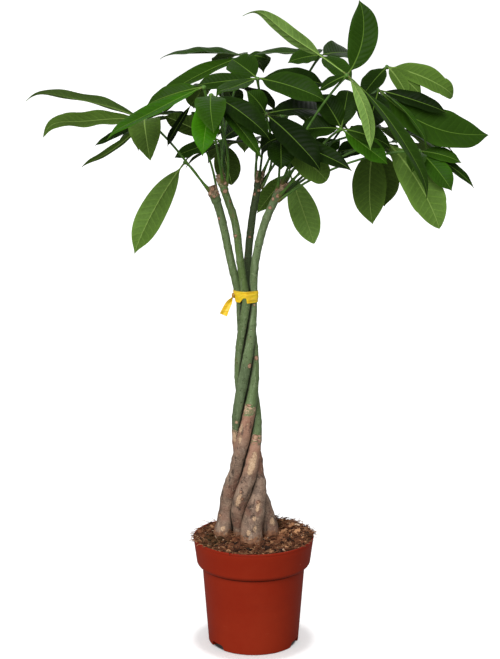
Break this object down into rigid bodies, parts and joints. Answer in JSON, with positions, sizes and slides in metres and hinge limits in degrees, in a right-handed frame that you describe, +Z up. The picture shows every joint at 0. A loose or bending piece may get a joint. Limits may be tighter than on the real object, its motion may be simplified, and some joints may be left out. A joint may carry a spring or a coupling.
{
  "type": "potted money tree",
  "caption": "Indoor tree in a round plastic pot: slim stems twisted into one trunk and tied with a ribbon, with palmate glossy leaves fanned out above bark soil.",
  "frame": {"origin": "middle of the pot's flat base, on the surface that the plant stands on", "axes": "+Z up along the pot's axis, -Y towards the side seen in the picture, +X to that view's right"},
  "size_m": [0.6195, 0.4367, 0.8904],
  "materials": {
    "pot": "satin moulded plastic, terracotta brown",
    "soil": "loose bark and coir potting mix",
    "bark": "thin bark, grey-brown at the foot and green above, with leaf scars",
    "leaf": "glossy living leaf, paler and duller below",
    "tie": "thin yellow plastic ribbon"
  },
  "bodies": {
    "root": {"pot": "pot", "soil": "soil", "stem_left": "bark", "stem_middle": "bark", "stem_back": "bark", "stem_right": "bark", "tie": "tie", "leaf_left_long": "leaf", "leaf_left_hanging": "leaf", "leaf_upper_left": "leaf", "leaf_crown_middle": "leaf", "leaf_crown_left": "leaf", "leaf_bright_front": "leaf", "leaf_glossy_front": "leaf", "leaf_inner_right": "leaf", "leaf_inner_small": "leaf", "leaf_right_hanging": "leaf", "leaf_right_tall": "leaf", "leaf_right_light": "leaf", "leaf_right_far": "leaf", "leaf_right_inner": "leaf", "leaf_right_low": "leaf", "leaf_right_behind": "leaf", "leaf_right_small": "leaf", "leaf_crown_right": "leaf", "leaf_back_left": "leaf", "leaf_back_crown": "leaf", "leaf_back_middle": "leaf", "leaf_back_lower": "leaf", "leaf_back_right": "leaf", "leaf_back_far": "leaf"}
  },
  "joints": []
}
